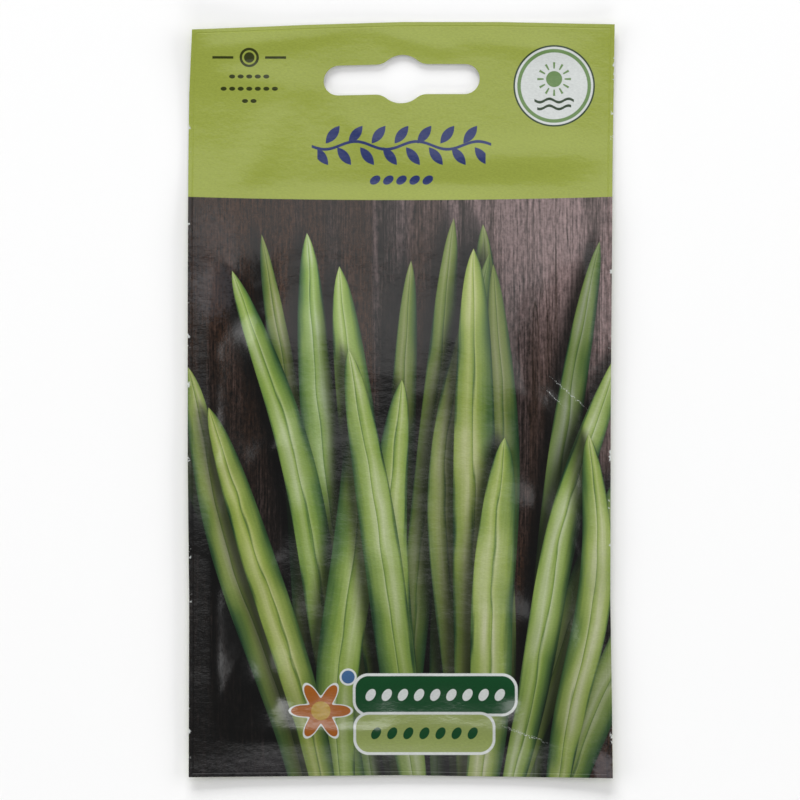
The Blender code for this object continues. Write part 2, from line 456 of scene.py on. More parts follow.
shared = relief["sway"] * lumps(*relief["swayLumps"])
shared += relief["edgeWave"] * lumps(*relief["edgeLumps"]) * nearSide
for place in relief["headerRidges"]:
    shared += ridge(*place)
underside = np.maximum(undersideHeights() + shared * offFloor, 0.0)
sideFolds = lumps(*relief["sideLumps"]) * smoothStep(fill * 6)
sideFolds += relief["fineFolds"] * lumps(*relief["fineSideLumps"])
endFolds = lumps(*relief["endLumps"]) * smoothStep(fill * 6)
crumple = lumps(*relief["crumpleLumps"])
crumple += relief["sharpCrumples"] * abs(lumps(*relief["sharpLumps"]))
crumple += relief["fineCrumples"] * lumps(*relief["fineLumps"])
floorHeights = np.maximum(seedTops(seeds) + relief["seedGap"] - underside - sheet["sealed"], 0.0)
bulge = tautHeights(pouch["height"] * fill, floorHeights, fill <= 0.0)
frontTop = underside + sheet["sealed"] + bulge
frontTop += relief["pucker"] * (sideFolds * nearSide + endFolds * nearBottom) * smoothStep(fill * 3)
frontTop += relief["crumple"] * crumple * smoothStep(fill * 2)
for fold in relief["creases"]:
    frontTop += crease(*fold)
sealShare = 1.0 - smoothStep(fill * 20)
frontBottom = frontTop - sheet["film"] - sealShare * (sheet["sealed"] / 2 - sheet["film"] - sheet["apart"])
backTop = underside + sheet["sealed"] / 2
print("relief ready")


def linkedObject(name, data):
    made = bpy.data.objects.new(name, data)
    bpy.context.scene.collection.objects.link(made)
    return made


def meshObject(name, shape):  # an object made of a bmesh, which is freed
    mesh = bpy.data.meshes.new(name)
    shape.to_mesh(mesh)
    shape.free()
    return linkedObject(name, mesh)


class Relief:  # a height field that can be read at any point of the sheet
    def __init__(self, heights):
        self.heights = heights

    def at(self, x, y):
        placeX = min(max((x / sheet["width"] + 0.5) * sheet["columns"], 0.0), sheet["columns"] - 1e-6)
        placeY = min(max((y / sheet["length"] + 0.5) * sheet["rows"], 0.0), sheet["rows"] - 1e-6)
        column = int(placeX)
        row = int(placeY)
        shareX = placeX - column
        shareY = placeY - row
        low = self.heights[row, column] * (1 - shareX) + self.heights[row, column + 1] * shareX
        high = self.heights[row + 1, column] * (1 - shareX) + self.heights[row + 1, column + 1] * shareX
        return low * (1 - shareY) + high * shareY


def arc(middleX, middleY, radius, start, end, steps):
    angles = [math.radians(start + (end - start) * step / steps) for step in range(steps + 1)]
    return [(middleX + radius * math.cos(a), middleY + radius * math.sin(a)) for a in angles]


def slotPunch():  # the tool that punches the hang slot
    half = slot["height"] / 2
    endX = slot["length"] / 2 - half
    filletY = half + slot["fillet"]
    filletX = math.sqrt((slot["hump"] + slot["fillet"]) ** 2 - filletY**2)
    lean = math.degrees(math.atan2(filletY, filletX))
    side = arc(endX, 0.0, half, -90, 90, slot["endSteps"])
    side += arc(filletX, filletY, slot["fillet"], 270, 180 + lean, slot["filletSteps"])
    side += arc(0.0, 0.0, slot["hump"], lean, 180 - lean, slot["humpSteps"])[1:-1]
    side += arc(-filletX, filletY, slot["fillet"], 360 - lean, 270, slot["filletSteps"])
    outline = side + [(-x, -y) for x, y in side]
    shape = bmesh.new()
    lift = sheet["length"] / 2 - slot["drop"]
    base = shape.faces.new([shape.verts.new((x, y + lift, -slot["punch"])) for x, y in outline])
    raised = bmesh.ops.extrude_face_region(shape, geom=[base])
    top = [part for part in raised["geom"] if isinstance(part, bmesh.types.BMVert)]
    bmesh.ops.translate(shape, verts=top, vec=(0.0, 0.0, 2 * slot["punch"]))
    bmesh.ops.recalc_face_normals(shape, faces=shape.faces)
    return meshObject("slotPunch", shape)


def flatSheet(name, punch):  # a flat slab with the slot punched out, its top at 0
    shape = bmesh.new()
    bmesh.ops.create_grid(shape, x_segments=sheet["columns"], y_segments=sheet["rows"], size=0.5)
    bmesh.ops.scale(shape, vec=(sheet["width"], sheet["length"], 1.0), verts=shape.verts)
    slab = meshObject(name, shape)
    thicken = slab.modifiers.new("thickness", "SOLIDIFY")
    thicken.thickness = sheet["slab"]
    thicken.offset = -1.0
    cut = slab.modifiers.new("slot", "BOOLEAN")
    cut.operation = "DIFFERENCE"
    cut.solver = "EXACT"
    cut.object = punch
    bpy.context.view_layer.update()
    finished = bpy.data.meshes.new_from_object(slab.evaluated_get(bpy.context.evaluated_depsgraph_get()))
    bpy.data.objects.remove(slab)
    return finished


def strayAt(edge, along):  # how far an edge has strayed at a place along it
    return float(np.interp(along * millimetres, *zip(*sheet[edge]))) / millimetres


def cutPlace(x, y):  # moves a point of the true rectangle with the edges that it lies nearest
    shareX = x / sheet["width"] + 0.5
    shareY = y / sheet["length"] + 0.5
    movedX = x + strayAt("leftStray", y) * (1 - shareX) + strayAt("rightStray", y) * shareX
    movedY = y + strayAt("topStray", x) * shareY**3 + strayAt("bottomStray", x) * (1 - shareY) ** 3
    return movedX, movedY


def bakeLayout(x, y, layer):  # where a face lies on the map: the printed side is wide, the others narrow
    across = x / sheet["width"] + 0.5
    up = 0.01 + 0.98 * (y / sheet["length"] + 0.5)
    starts = {"print": (0.01, 0.86), "inside": (0.89, 0.04), "edge": (0.95, 0.04)}
    start, width = starts[layer]
    return start + width * across, up


def bendSheet(name, flat, top, bottom, finishes, printUp):
    # lifts the slab's two sides to their heights and gives each face its finish
    printPaints, insidePaint, edgePaint = finishes
    shape = bmesh.new()
    shape.from_mesh(flat)
    layout = shape.loops.layers.uv.new("OFBake")
    edgeLayer = shape.verts.layers.float.new("pastEdge")
    for face in shape.faces:
        face.smooth = True
        middle = face.calc_center_median() * millimetres
        if abs(face.normal.z) < 0.5:
            layer = "edge"
        else:
            layer = "print" if (face.normal.z > 0) == printUp else "inside"
        numbers = {"print": panelOf(middle.x, middle.y) % len(printPaints), "inside": -2, "edge": -1}
        face.material_index = numbers[layer] % (len(printPaints) + 2)
        for loop in face.loops:
            loop[layout].uv = bakeLayout(loop.vert.co.x, loop.vert.co.y, layer)
    for vert in shape.verts:
        x, y, z = vert.co
        vert[edgeLayer] = max(abs(x) - sheet["width"] / 2, abs(y) - sheet["length"] / 2) * millimetres
        height = top.at(x, y) if z > -sheet["slab"] / 2 else bottom.at(x, y)
        vert.co = (*cutPlace(x, y), height)
    film = meshObject(name, shape)
    film.data.set_sharp_from_angle(angle=math.radians(50))
    for material in (*printPaints, insidePaint, edgePaint):
        film.data.materials.append(material)
    return film


# The front's print

printed = {
    "headerEdge": 41.0,  # millimetres from the packet's middle
    "headerBow": 0.00035,  # how fast this edge rises to both sides
    "headerGreen": ink(151, 162, 74),
    "headerDeep": ink(146, 157, 67),
    "woodBlack": ink(26, 24, 22),
    "woodDark": ink(44, 38, 35),
    "woodMid": ink(70, 59, 54),
    "woodGrey": ink(102, 87, 85),
    "woodPale": ink(146, 125, 124),
    "woodBrown": ink(106, 73, 52),
    "leafDark": ink(28, 50, 34),
    "leafShade": ink(50, 76, 46),
    "leafLow": ink(76, 102, 55),
    "leafMid": ink(106, 130, 62),
    "leafBright": ink(132, 151, 75),
    "leafPale": ink(152, 166, 102),
    "leafShine": ink(180, 186, 148),
    "indigo": ink(46, 56, 104),
    "darkMark": ink(52, 58, 22),
    "white": ink(205, 209, 207),
    "badgeDark": ink(44, 62, 40),
    "badgeGreen": ink(104, 134, 82),
    "plateDark": ink(24, 70, 40),
    "plateLight": ink(140, 153, 90),
    "orange": ink(158, 92, 38),
    "yellow": ink(172, 140, 52),
    "blue": ink(66, 98, 138),
    # the pale colour of the painted sheen patches
    "sheenPaint": ink(150, 146, 152),
    "backPale": ink(206, 209, 188),
    "backInk": ink(92, 104, 78),
}


def leafGroup():
    # one long pointed leaf laid over what is below it, with its cast shadow
    tree = bpy.data.node_groups.new("longLeaf", "ShaderNodeTree")
    kinds = {name: "Vector" for name in ("Place", "Start", "Way", "Across")}
    kinds.update({"Tint": "Color", "Below": "Color"})
    numbers = ("Width", "Bend", "Sway", "Side", "Depth", "Warp", "Gleam", "Shine")
    for name in (*kinds, *numbers):
        tree.interface.new_socket(name, in_out="INPUT", socket_type="NodeSocket" + kinds.get(name, "Float"))
    tree.interface.new_socket("Colour", in_out="OUTPUT", socket_type="NodeSocketColor")
    paint = Paint(tree)
    inlet = tree.nodes.new("NodeGroupInput")
    place, start, way, cross, tint, below, width, bend, sway, side, depth, warp, gleam, shine = [
        Flow(paint, socket) for socket in inlet.outputs[:-1]
    ]

    away = paint.node("VectorMath", {"operation": "SUBTRACT"}, {0: place, 1: start})
    along = paint.node("VectorMath", {"operation": "DOT_PRODUCT"}, {0: away, 1: way}, "Value")
    across = paint.node("VectorMath", {"operation": "DOT_PRODUCT"}, {0: away, 1: cross}, "Value")
    across = paint.maths("MULTIPLY_ADD", along * along, bend, across)
    across = paint.maths("MULTIPLY_ADD", paint.maths("SINE", along * leaves["swayPace"]), sway, across)
    sunk = leaves["sunk"]  # the curve's node holds no value below zero or above one
    outline = [(share, (half + sunk) / (1.0 + sunk)) for share, half in leaves["outline"]]
    half = paint.node("FloatCurve", {"points": outline}, {"Value": along}) * (1.0 + sunk) - sunk
    half = half * width
    cast = (half - abs(across + leaves["shadowShift"])).rise(*leaves["shadowEdge"])
    shadow = paint.mix(cast, below, leaves["shadow"], "MULTIPLY")
    cover = (half - abs(across)).rise(*leaves["edge"])
    veins = paint.cloud(across, along, *leaves["veinScales"])
    turned = paint.maths("MULTIPLY_ADD", across / half, side, warp)
    turned = paint.maths("MULTIPLY_ADD", veins, leaves["veins"], turned)
    plain = paint.node("ValToRGB", {"stops": leaves["section"]}, {"Fac": turned})
    bright = paint.node("ValToRGB", {"stops": leaves["brightSection"]}, {"Fac": turned})
    leaf = paint.mix(gleam * shine, plain, bright)
    leaf = paint.mix(1.0, leaf, tint, "MULTIPLY")
    dim = paint.maths("MULTIPLY_ADD", along, leaves["tipLight"], depth)
    leaf = paint.mix(dim, leaf, printed["leafDark"])
    paint.node("NodeGroupOutput", {}, {"Colour": paint.mix(cover, shadow, leaf)})
    return tree


leaves = {
    "seed": 15,
    # half the width at each share of the length; below zero at the ends, so that they close
    "outline": (
        (0.0, -0.5), (0.03, 0.55), (0.25, 0.90), (0.50, 1.0), (0.74, 0.86), (0.90, 0.52), (1.0, -0.5)
    ),
    "sunk": 0.5,
    "edge": (-0.02, 0.16),  # where a leaf begins to cover what is below it, and covers it all
    # the colours from edge to edge, with a pale line beside the fold
    "section": (
        (0.0, "leafDark"), (0.03, "leafShade"), (0.08, "leafMid"), (0.20, "leafBright"),
        (0.33, "leafPale"), (0.43, "leafBright"), (0.475, "leafMid"), (0.49, "leafLow"),
        (0.52, "leafPale"), (0.58, "leafBright"), (0.70, "leafMid"), (0.84, "leafLow"),
        (0.94, "leafShade"), (1.0, "leafDark"),
    ),
    # the same where the light catches it
    "brightSection": (
        (0.0, "leafLow"), (0.06, "leafBright"), (0.16, "leafPale"), (0.32, "leafShine"),
        (0.43, "leafPale"), (0.475, "leafBright"), (0.49, "leafMid"), (0.52, "leafShine"),
        (0.64, "leafPale"), (0.80, "leafBright"), (0.93, "leafLow"), (1.0, "leafShade"),
    ),
    "middle": 0.45,  # where the middle line lies among those colours
    "warp": 0.20,  # how far the colours wander across a leaf
    "warpClouds": (0.16, 0.06, 1.0, 19.0),  # clouds: scales across and along, detail and shift
    "veins": 0.10,
    "veinScales": (1.3, 7.0, 1.0),
    "gleams": (0.09, 0.05, 1.0, 3.0),
    "gleamRise": (0.36, 0.60),
    "shadow": (0.10, 0.11, 0.10, 1.0),
    "shadowShift": 1.5,
    "shadowEdge": (-2.6, 1.0),
    "shadowReach": 4.2,
    "tipLight": -0.38,
    "footLight": (0.88, 1.08),  # the light on boards and leaves at the foot, and above it
    "footRise": (-70.0, -18.0),
    # the middle of all the feet, half the width that they take up, and how far each strays
    "foot": (6.0, -86.0),
    "footWidth": 27.0,
    "footStray": (3.0, 4.0),
    # how much one leaf differs from the next
    "lean": 9.0,
    "outerShorter": 14.0,
    "widths": (0.80, 1.18),
    "bend": 14.0,
    "sway": 1.6,
    "swayPace": 7.5,
    "sides": (0.5, 0.5, -0.5),
    "dimStray": 0.10,
    "reds": (0.90, 1.06),
    "greens": (0.94, 1.03),
    "blues": (0.82, 1.14),
    "shines": (0.25, 1.0),
    # each row from back to front: count, length, its spread, half width, dimness and opening
    "rows": (
        (8, 126.0, 10.0, 3.4, 0.80, 11.0),
        (8, 112.0, 12.0, 3.8, 0.42, 13.0),
        (7, 94.0, 15.0, 4.1, 0.16, 17.0),
    ),
}


def leafLayout():
    # a loose sheaf of long leaves that rises from the packet's foot and opens upwards
    chance = random.Random(leaves["seed"])
    footX, footY = leaves["foot"]

    def stray(limit):
        return chance.uniform(-limit, limit)

    for count, length, spread, width, dimness, opening in leaves["rows"]:
        order = list(range(count))
        chance.shuffle(order)
        for number in order:
            share = (number + 0.5) / count * 2.0 - 1.0
            angle = math.radians(opening * share + stray(leaves["lean"]))
            reach = length - leaves["outerShorter"] * share * share + stray(spread)
            startX = footX + leaves["footWidth"] * share + stray(leaves["footStray"][0])
            yield {
                "Start": (startX, footY + stray(leaves["footStray"][1]), 0.0),
                "Way": (math.sin(angle) / reach, math.cos(angle) / reach, 0.0),
                "Across": (math.cos(angle), -math.sin(angle), 0.0),
                "Width": width * chance.uniform(*leaves["widths"]),
                "Bend": stray(leaves["bend"]),
                "Sway": stray(leaves["sway"]),
                "Side": chance.choice(leaves["sides"]),
                "Depth": dimness + stray(leaves["dimStray"]),
                "Tint": (*(chance.uniform(*leaves[light]) for light in ("reds", "greens", "blues")), 1.0),
                "Shine": chance.uniform(*leaves["shines"]),
            }


wood = {
    "board": 19.0,  # a board's width, in millimetres
    "boardShift": 6.0,
    "seam": (9.1, 9.4),  # where a board darkens to its seam, from its middle
    "wander": 1.6,  # how far the grain strays sideways
    # clouds: scales across and along, detail and shift
    "streaks": (0.34, 0.012, 3.0, 7.0),
    "lines": (3.0, 0.06, 3.0),
    "grain": (2.2, 0.5, 2.0, 5.0),
    "speckles": (1.9, 1.9, 2.0, 11.0),
    "cracks": (0.30, 0.013, 1.0, 31.0),
    "crackWidth": 0.012,
    "browns": (0.11, 0.010, 1.0, 43.0),
    "brownRise": (0.36, 0.60),
    "brownShare": 0.85,
    # the boards' colour from dark to pale, and what counts in it
    "stops": (
        (0.0, "woodBlack"), (0.20, "woodDark"), (0.42, "woodMid"), (0.66, "woodGrey"),
        (1.0, "woodPale"),
    ),
    "tones": {"streak": 1.3, "lines": 0.55, "grain": 0.40, "pale": 0.60},
    "darker": {"all": 0.80, "seam": 0.35, "crack": 0.30},
    # the light falls off from the upper right corner to the lower left one
    "slant": 1.4,
    "paleRise": (-15.0, 85.0),
    "brownFade": (-110.0, 0.0),
    "leastLight": 0.05,
    "lights": ((0.16, -120.0, -10.0), (0.48, 24.0, 92.0)),  # what it gains and where
    "roughness": {"lines": 1.1, "grain": 1.1, "speckle": 0.7, "less": 1.45, "deep": 2.3, "flatter": 1.3},
}


def woodColour(paint, x, y):  # dark weathered boards with a rough upright grain
    inBoard = paint.maths("WRAP", x + wood["boardShift"], wood["board"], 0.0)
    seam = abs(inBoard - wood["board"] / 2).rise(*wood["seam"])
    streak = paint.cloud(x, y, *wood["streaks"])
    astray = x + wood["wander"] * streak
    lines = paint.cloud(astray, y, *wood["lines"])
    grain = paint.cloud(astray, y, *wood["grain"])
    speckle = paint.cloud(x, y, *wood["speckles"])
    crack = abs(paint.cloud(astray, y, *wood["cracks"]) - 0.5).fall(0.0, wood["crackWidth"])
    corner = x * wood["slant"] + y
    pale = corner.rise(*wood["paleRise"])
    light = wood["leastLight"]
    for gain, low, high in wood["lights"]:
        light = light + gain * corner.rise(low, high)

    tones, darker = wood["tones"], wood["darker"]
    value = tones["streak"] * streak + tones["lines"] * lines + tones["grain"] * grain + tones["pale"] * pale
    value = value - darker["all"] - darker["seam"] * seam - darker["crack"] * crack
    board = paint.node("ValToRGB", {"stops": wood["stops"]}, {"Fac": value})
    brown = paint.cloud(astray, y, *wood["browns"]).rise(*wood["brownRise"])
    brown = brown * (1.0 - pale) * corner.rise(*wood["brownFade"])
    board = paint.mix(wood["brownShare"] * brown, board, printed["woodBrown"])

    depths = wood["roughness"]
    rough = depths["lines"] * lines + depths["grain"] * grain + depths["speckle"] * speckle - depths["less"]
    return paint.shade(board, light * (1.0 + rough * (depths["deep"] - depths["flatter"] * pale)))


title = {  # millimetres from its middle
    "stemEnd": 18.4,
    "leafEnd": 17.25,
    "leafPitch": 4.7,
    "leafRise": 2.2,
    "leafTurn": 52.0,
    "leafSize": (2.3, 0.95),
    "beadDrop": 7.1,
    "beads": (5, 2.7, 1.2, 35.0),  # how many, their pitch, radius and turn
}


def titleMarks(paint, x, y, colour):  # a wavy sprig with paired leaves over a row of beads
    stem = abs(y - 0.8 * paint.maths("SINE", x * 0.5)).fall(0.22, 0.38)
    marks = stem * abs(x).fall(title["stemEnd"] - 0.1, title["stemEnd"] + 0.1)
    inRow = abs(x).fall(title["leafEnd"] - 0.05, title["leafEnd"] + 0.05)
    half = title["leafPitch"] / 2
    for side, shift in ((1.0, 0.0), (-1.0, half)):
        cell = paint.maths("WRAP", x + shift, half, -half)
        leafX, leafY = paint.turned(cell, (y - side * title["leafRise"]) * side, title["leafTurn"])
        marks = marks.most(paint.leaf(leafX, leafY, *title["leafSize"]) * inRow)
    marks = marks.most(beadRow(paint, x, y + title["beadDrop"], *title["beads"]))
    return paint.mix(marks, colour, printed["indigo"])


finish = {
    "mottle": 0.24,  # how far the fine grain of the print lightens and darkens it
    # painted highlights: white glints along the film's creases, each with both ends and half width
    "creaseGlints": (
        ((31.0, 4.6), (37.8, -1.4), 0.12),
        ((29.6, 2.4), (33.2, -1.1), 0.08),
        ((21.0, -66.8), (29.4, -70.0), 0.20),
    ),
    # painted sheen: pale patches where the film reflects the light, painted into the print's colour: middle,
    # half sizes and strength
    "paintedSheens": (
        (-38.5, 28.0, 6.5, 13.0, 0.05),
        (-38.0, 22.0, 5.5, 6.5, 0.06),
        (40.4, -35.5, 2.8, 6.5, 0.10),
        (41.8, -75.4, 2.6, 3.6, 0.20),
        (-2.0, -74.8, 44.0, 4.2, 0.06),
    ),
    "paintedSheenEdge": (0.1, 1.1),
    # clouds: scales across and along, detail and shift
    "fineClouds": (1.6, 3.6, 2.0, 2.0),
    "rubbedClouds": (1.1, 1.1, 2.0, 4.0),
    "sparseClouds": (0.21, 0.21, 0.0, 14.0),
    "sparkClouds": (4.5, 4.5, 1.0, 9.0),
    "wrinkleClouds": (0.10, 0.14, 1.5, 23.0),
    "crinkleClouds": (0.45, 0.75, 2.0, 29.0),
    "rubbedEdge": (-0.7, -0.1),  # the rim that is rubbed pale, in millimetres from the cut edge
    "roughness": 0.15,
    "rubbedRoughness": 0.08,
    "wrinkle": 0.11,  # heights of the film's own relief, in millimetres
    "crinkle": 0.034,
    "grain": 0.010,
    "groove": 0.030,
    "grooveInset": 0.85,  # a fine line that runs along inside the cut edge
    "grooveWidth": 0.22,
}


# The front is printed panel by panel, so that each point is shaded with only what lies near it
panels = {
    "columns": (-50.0, -14.5, 14.5, 50.0),  # limits in millimetres
    "rows": (-80.0, -53.0, -6.0, 42.4, 80.0),
    # what stands on the ground print: its maker, middle and half sizes
    "marks": (
        ("smallMarks", -30.9, 70.2, 8.5, 11.0),
        ("titleMarks", 0.3, 52.2, 19.0, 10.0),
        ("badge", 31.6, 64.4, 9.0, 9.0),
        ("plates", 0.0, -64.0, 26.0, 10.5),
    ),
    "margin": 1.2,
}


def panelOf(x, y):  # the number of the panel that holds a point
    column = sum(x > limit for limit in panels["columns"][1:-1])
    row = sum(y > limit for limit in panels["rows"][1:-1])
    return row * (len(panels["columns"]) - 1) + column


def touches(panel, x, y, halfX, halfY):
    lowX, highX, lowY, highY = panel
    reachX = halfX + panels["margin"]
    reachY = halfY + panels["margin"]
    return lowX - reachX < x < highX + reachX and lowY - reachY < y < highY + reachY


def leafTouches(panel, leaf):  # walks along the leaf's middle line
    spread = leaf["Width"] + leaves["shadowReach"]
    reach = 1.0 / math.hypot(*leaf["Way"])
    for step in range(41):
        along = step / 40
        aside = -leaf["Bend"] * along * along
        x = leaf["Start"][0] + leaf["Way"][0] * reach * reach * along + leaf["Across"][0] * aside
        y = leaf["Start"][1] + leaf["Way"][1] * reach * reach * along + leaf["Across"][1] * aside
        if touches(panel, x, y, spread, spread):
            return True
    return False


def groundPrint(paint, x, y, panel, group):  # the plain header, or the boards and leaves below its border
    green = paint.mix(paint.cloud(x, y, 0.05, 0.05, 0.0), printed["headerGreen"], printed["headerDeep"])
    if panel[2] > printed["headerEdge"]:
        return green
    colour = woodColour(paint, x, y)
    common = {
        "Place": paint.spot(x, y),
        "Warp": leaves["middle"] + leaves["warp"] * (paint.cloud(x, y, *leaves["warpClouds"]) - 0.5),
        "Gleam": paint.cloud(x, y, *leaves["gleams"]).rise(*leaves["gleamRise"]),
    }
    for leaf in leafLayout():
        if leafTouches(panel, leaf):
            colour = paint.node("Group", {"node_tree": group}, {"Below": colour, **common, **leaf})
    low, full = leaves["footLight"]
    colour = paint.shade(colour, y.ramp(*leaves["footRise"], low, full))
    border = printed["headerEdge"] + printed["headerBow"] * x * x
    return paint.mix((y - border).rise(-0.08, 0.08), colour, green)


def wearGlintsAndSheen(paint, x, y, panel, colour, edge, rubbed, fine):
    # rubs the rim pale here and there, paints white glints along the creases and paints pale sheen patches in
    # a few places
    sparse = paint.cloud(x, y, *finish["sparseClouds"])
    marks = rubbed.rise(0.55, 0.66) * sparse.rise(0.60, 0.64) * edge.rise(*finish["rubbedEdge"])
    marks = marks * abs(y).fall(70.0, 75.0)
    # painted highlight: white glints along the creases, broken into sparks
    for start, end, halfWidth in finish["creaseGlints"]:
        middle = ((start[0] + end[0]) / 2, (start[1] + end[1]) / 2)
        if touches(panel, *middle, 8.0, 8.0):
            astray = y + 1.1 * (rubbed - 0.5)
            sparks = paint.cloud(x, y, *finish["sparkClouds"]).rise(0.50, 0.58)
            marks = marks.most(paint.stroke(x, astray, start, end, halfWidth) * sparks * 0.8)
    # the rubbed rim is wear; the glints in the same marks are painted highlights
    colour = paint.mix(marks, colour, printed["white"])
    # painted sheen: ragged pale patches of reflected light, painted into the colour
    for middleX, middleY, halfX, halfY, strength in finish["paintedSheens"]:
        if touches(panel, middleX, middleY, halfX, halfY):
            awayX = (x - middleX) / halfX
            awayY = (y - middleY) / halfY
            ragged = awayX * awayX + awayY * awayY + 1.2 * rubbed + 0.7 * fine - 0.95
            colour = paint.mix(ragged.fall(*finish["paintedSheenEdge"]) * strength, colour, printed["sheenPaint"])
    return colour


def frontPanel(name, panel, group):
    material, paint = newPaint(name)
    x, y = paint.place()
    colour = groundPrint(paint, x, y, panel, group)
    for maker, middleX, middleY, halfX, halfY in panels["marks"]:
        if touches(panel, middleX, middleY, halfX, halfY):
            colour = makers[maker](paint, x - middleX, y - middleY, colour)

    edge = paint.node("Attribute", {"attribute_name": "pastEdge"}, outlet="Fac")
    fine = paint.cloud(x, y, *finish["fineClouds"])
    rubbed = paint.cloud(x, y, *finish["rubbedClouds"])
    colour = paint.shade(colour, 1.0 - finish["mottle"] / 2 + finish["mottle"] * fine)
    colour = wearGlintsAndSheen(paint, x, y, panel, colour, edge, rubbed, fine)

    groove = abs(edge + finish["grooveInset"]).fall(0.0, finish["grooveWidth"])
    height = finish["wrinkle"] * paint.cloud(x, y, *finish["wrinkleClouds"])
    height = height + finish["crinkle"] * paint.cloud(x, y, *finish["crinkleClouds"])
    height = height + finish["grain"] * fine - finish["groove"] * groove
    roughness = finish["roughness"] + finish["rubbedRoughness"] * rubbed
    normal = paint.bump(height)
    finishPaint(paint, {"Base Color": colour, "Roughness": roughness, "Normal": normal, "IOR": 1.5})
    return material


def frontPrint():
    group = leafGroup()
    made = []
    for row, (lowY, highY) in enumerate(zip(panels["rows"], panels["rows"][1:])):
        for column, (lowX, highX) in enumerate(zip(panels["columns"], panels["columns"][1:])):
            made.append(frontPanel("front%d%d" % (row, column), (lowX, highX, lowY, highY), group))
    return made


def beadRow(paint, x, y, count, pitch, size, turn):  # a level row of oval beads
    inRow = abs(x).fall(count * pitch / 2 - 0.02, count * pitch / 2)
    shift = 0.0 if count % 2 else pitch / 2
    cell = paint.maths("WRAP", x + shift, pitch / 2, -pitch / 2)
    beadX, beadY = paint.turned(cell, y, turn)
    return paint.disc(beadX, beadY * 1.5, size) * inRow


def smallMarks(paint, x, y, colour):  # a ring and dot between two rules, over three dotted rules
    far = farOf(x, y)
    marks = far.fall(1.0, 1.15).most(abs(far - 1.72).fall(0.20, 0.32))
    marks = marks.most(abs(abs(x) - 5.4).fall(2.1, 2.2) * abs(y).fall(0.20, 0.32))
    for drop, count in ((3.9, 5), (6.4, 7), (8.9, 2)):
        marks = marks.most(beadRow(paint, x, y + drop, count, 1.75, 0.62, 0.0))
    return paint.mix(marks, colour, printed["darkMark"])


def badge(paint, x, y, colour):  # a round white badge: a sun over two furrows
    far = farOf(x, y)
    upY = y - 1.4  # from the sun's middle
    sunFar = farOf(x, upY)
    spoke = abs(paint.maths("SINE", paint.maths("ARCTAN2", upY, x) * 6.0)).fall(0.30, 0.50)
    rays = spoke * sunFar.rise(2.1, 2.2) * sunFar.fall(3.4, 3.5)
    covers = [
        ("badgeDark", far.fall(8.3, 8.42)),
        ("white", far.fall(7.95, 8.07)),
        ("badgeGreen", abs(far - 7.2).fall(0.30, 0.42)),
        ("badgeGreen", rays.most(sunFar.fall(1.6, 1.7))),
    ]
    for drop, half in ((3.0, 4.0), (4.4, 3.44)):
        wave = abs(y + drop + 0.35 * paint.maths("SINE", x * 1.6))
        covers.append(("badgeDark", wave.fall(0.22, 0.34) * abs(x).fall(half, half + 0.1)))
    return paint.layers(colour, covers)


plate = {  # millimetres from the middle of the group
    # each bar: middle, half length, colours of the bar and its seeds, and how many
    "bars": (
        (7.2, 3.7, 16.3, "plateDark", "white", 9),
        (5.0, -4.3, 14.0, "plateLight", "plateDark", 7),
    ),
    "halfHeight": 3.9,
    "corner": 2.7,
    "rim": 0.55,
    "seeds": (3.3, 1.35, 58.0),  # their pitch, radius and turn
    "flower": (-16.2, 0.4),
    "petals": (6.0, 4.4, 1.7),  # how many, their middle radius and how far it swings
    "petalRim": 0.5,
    "eye": (1.9, 2.05),
    "dot": (-10.6, 7.4),
    "dotRadius": 1.35,
    "dotRim": 0.4,
}


def plates(paint, x, y, colour):  # a flower beside two rounded plates with rows of seeds
    halfHeight, corner, rim = plate["halfHeight"], plate["corner"], plate["rim"]
    covers = []
    for middleX, middleY, half, barInk, seedInk, count in plate["bars"]:
        spot = (x - middleX, y - middleY)
        covers.append(("white", paint.pill(*spot, half + rim, halfHeight + rim, corner + 0.5)))
        covers.append((barInk, paint.pill(*spot, half, halfHeight, corner)))
        covers.append((seedInk, beadRow(paint, *spot, count, *plate["seeds"])))
    awayX = x - plate["flower"][0]
    awayY = y - plate["flower"][1]
    far = farOf(awayX, awayY)
    count, radius, swing = plate["petals"]
    petal = radius + swing * paint.maths("COSINE", paint.maths("ARCTAN2", awayY, awayX) * count)
    dot = (x - plate["dot"][0], y - plate["dot"][1])
    covers += [
        ("white", (petal + plate["petalRim"] - far).rise(-0.08, 0.08)),
        ("orange", (petal - far).rise(-0.08, 0.08)),
        ("yellow", far.fall(*plate["eye"])),
        ("white", paint.disc(*dot, plate["dotRadius"] + plate["dotRim"])),
        ("blue", paint.disc(*dot, plate["dotRadius"])),
    ]
    return paint.layers(colour, covers)


makers = {"smallMarks": smallMarks, "titleMarks": titleMarks, "badge": badge, "plates": plates}


def plainFilm(name, colour, roughness):
    material, paint = newPaint(name)
    cloudy = paint.cloud(*paint.place(), 0.5, 0.5, 3.0)
    shaded = paint.shade(colour, 0.94 + 0.12 * cloudy)
    finishPaint(paint, {"Base Color": shaded, "Roughness": roughness, "Normal": paint.bump(cloudy * 0.02)})
    return material


def ruledLines(paint, x, y, count, pitch, halfLength):  # level rules, the last one half as long
    place = y / pitch
    inRows = abs(place + (count - 1) / 2).fall(count / 2 - 0.02, count / 2)
    rule = abs(paint.maths("WRAP", y + pitch / 2, pitch, 0.0) - pitch / 2).fall(0.26, 0.40)
    long = (place + count - 1.5).rise(-0.02, 0.0)  # 0 on the last rule
    pastEnd = abs(x + halfLength * 0.5 * (1.0 - long)) - halfLength * (0.5 + 0.5 * long)
    return rule * inRows * pastEnd.fall(-0.1, 0.1)


